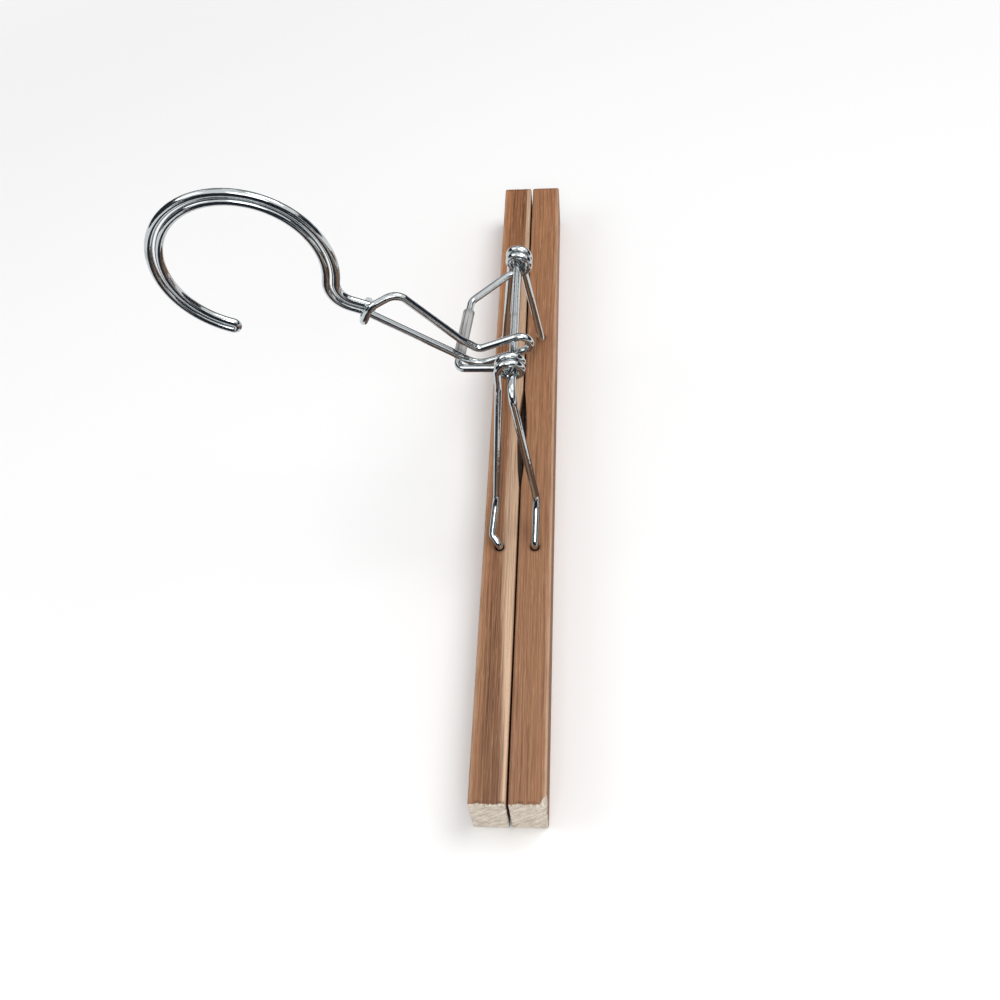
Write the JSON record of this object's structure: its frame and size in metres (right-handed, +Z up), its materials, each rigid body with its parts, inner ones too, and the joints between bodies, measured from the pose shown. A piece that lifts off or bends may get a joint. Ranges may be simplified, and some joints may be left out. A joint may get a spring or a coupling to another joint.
{
  "type": "skirt hanger",
  "caption": "Clamp hanger for skirts: cedar jaw bars on a bent-wire hinge with a sleeved thumb lever, and a folding hook of doubled wire, clasped by its own end.",
  "frame": {"origin": "centre of the closet rail inside the hook, in the plane of the hook", "axes": "+Y along the bars and the hinge pin, towards the far end in the picture; +Z up from the bars to the pin; +X to the right, from the lever's side to the other bar"},
  "size_m": [0.1034, 0.245, 0.1254],
  "materials": {
    "cedar": "smooth planed cedar, unvarnished",
    "felt": "dense brown felt",
    "wire": "bright plated wire",
    "sleeve": "grey satin plastic tube"
  },
  "bodies": {
    "hook": {"hook": "wire"},
    "left_jaw": {"left_bar": "cedar", "left_grip_strip": "felt", "lever_frame": "wire", "lever_sleeve": "sleeve"},
    "right_jaw": {"right_bar": "cedar", "right_grip_strip": "felt", "hinge_frame": "wire"}
  },
  "joints": [
    {"name": "hook_swing", "type": "hinge", "parent": "hook", "child": "left_jaw", "pos_m": [0.06879, 0.0093, -0.03208], "axis": [0, -1, 0], "range_deg": [0, 125]},
    {"name": "jaw_open", "type": "hinge", "parent": "left_jaw", "child": "right_jaw", "pos_m": [0.06879, 0.0093, -0.03208], "axis": [0, -1, 0], "range_deg": [0, 45]}
  ]
}
